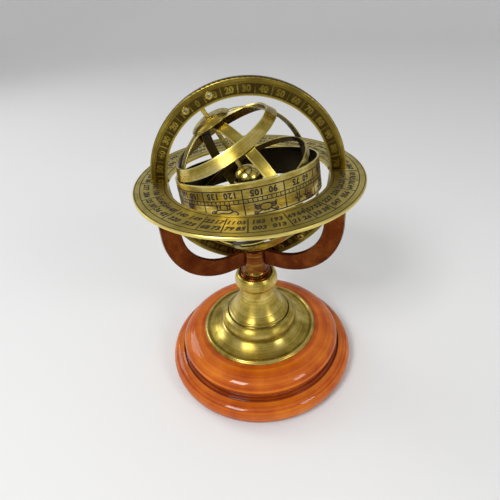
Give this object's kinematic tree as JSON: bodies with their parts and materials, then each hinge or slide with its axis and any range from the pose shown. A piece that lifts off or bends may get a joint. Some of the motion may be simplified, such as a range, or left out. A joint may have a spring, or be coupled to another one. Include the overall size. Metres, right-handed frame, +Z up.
{
  "type": "armillary sphere",
  "caption": "Table armillary sphere: nested rings turn on a tilted polar rod in a meridian ring, held by a horizon ring on curved arms over a turned base.",
  "frame": {"origin": "on the floor under the centre of the base", "axes": "+Z up, the meridian ring in the XZ plane with its graduated face towards -Y, the north pole leaning towards -X"},
  "size_m": [0.1424, 0.1424, 0.215],
  "materials": {
    "brass": "brushed, toned with age",
    "polished_brass": "polished",
    "varnished_wood": "glossy varnish",
    "felt": "matt felt",
    "steel": "plain"
  },
  "bodies": {
    "stand": {"felt_pad": "felt", "wooden_base": "varnished_wood", "tie_washer": "steel", "tie_screw": "steel", "bell_foot": "brass", "foot_collar": "brass", "arm_hub": "brass", "arm_rear": "brass", "arm_left": "brass", "arm_right": "brass", "horizon_ring": "brass"},
    "meridian": {"meridian_front_ply": "brass", "meridian_back_ply": "brass", "pivot_rivets": "brass"},
    "inner_sphere": {"polar_rod": "brass", "earth_ball": "polished_brass", "north_cap": "brass", "south_cap": "brass", "solstitial_colure": "brass", "equinoctial_colure": "brass", "equator_ring": "brass", "north_tropic_ring": "brass", "south_tropic_ring": "brass", "zodiac_band": "brass"}
  },
  "joints": [
    {"name": "meridian_turn", "type": "hinge", "parent": "stand", "child": "meridian", "pos_m": [0, 0, 0.1555], "axis": [0, 1, 0], "range_deg": [-48, 7]},
    {"name": "sphere_spin", "type": "hinge", "parent": "meridian", "child": "inner_sphere", "pos_m": [0, 0, 0.1555], "axis": [-0.4617, 0, 0.887], "continuous": true}
  ]
}
